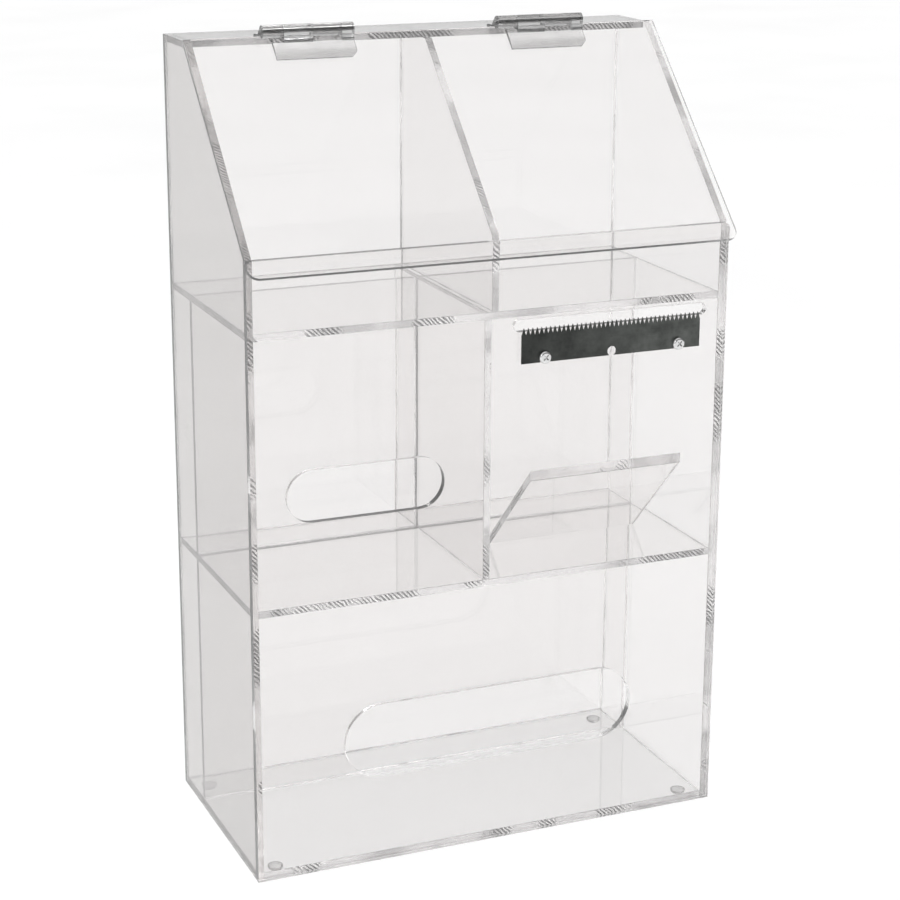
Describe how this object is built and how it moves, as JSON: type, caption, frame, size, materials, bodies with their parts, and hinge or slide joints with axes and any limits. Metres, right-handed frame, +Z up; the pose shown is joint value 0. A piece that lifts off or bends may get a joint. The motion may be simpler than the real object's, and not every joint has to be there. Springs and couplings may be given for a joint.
{
  "type": "cling film and supplies dispenser",
  "caption": "Clear acrylic cabinet with a hinged sloping lid over two bins, a film roll cell with a serrated cutter under its slot, and two cells with rounded hand slots.",
  "frame": {"origin": "centre of the whole object's footprint, at the level its feet stand on", "axes": "+X to the viewer's right when facing the slots, -Y out of the front panel, +Z up"},
  "size_m": [0.409, 0.2172, 0.6622],
  "materials": {
    "clear_sheet": "polished",
    "lid_sheet": "polished",
    "clear_hinge": "polished",
    "clear_bumper": "satin",
    "blade_steel": "satin dark steel",
    "bright_fastener": "bright plated"
  },
  "bodies": {
    "cabinet": {"front_panel": "clear_sheet", "back_panel": "clear_sheet", "left_side_panel": "clear_sheet", "right_side_panel": "clear_sheet", "base_panel": "clear_sheet", "mid_shelf": "clear_sheet", "top_shelf": "clear_sheet", "top_panel": "clear_sheet", "upper_divider": "clear_sheet", "lower_divider": "clear_sheet", "lower_false_back": "clear_sheet", "mid_left_false_back": "clear_sheet", "mid_right_false_back": "clear_sheet", "film_ramp": "clear_sheet", "film_blade": "blade_steel", "blade_screws": "bright_fastener", "blade_nuts": "bright_fastener", "left_hinge_pin": "clear_hinge", "right_hinge_pin": "clear_hinge", "front_left_foot": "clear_bumper", "front_right_foot": "clear_bumper", "rear_left_foot": "clear_bumper", "rear_right_foot": "clear_bumper", "left_hinge_fixed_leaf": "clear_hinge", "right_hinge_fixed_leaf": "clear_hinge"},
    "lid": {"lid": "lid_sheet", "left_hinge_lid_leaf": "clear_hinge", "right_hinge_lid_leaf": "clear_hinge"}
  },
  "joints": [
    {"name": "lid_hinge", "type": "hinge", "parent": "cabinet", "child": "lid", "pos_m": [0, 0.0444, 0.657], "axis": [-1, 0, 0], "range_deg": [0, 233]}
  ]
}
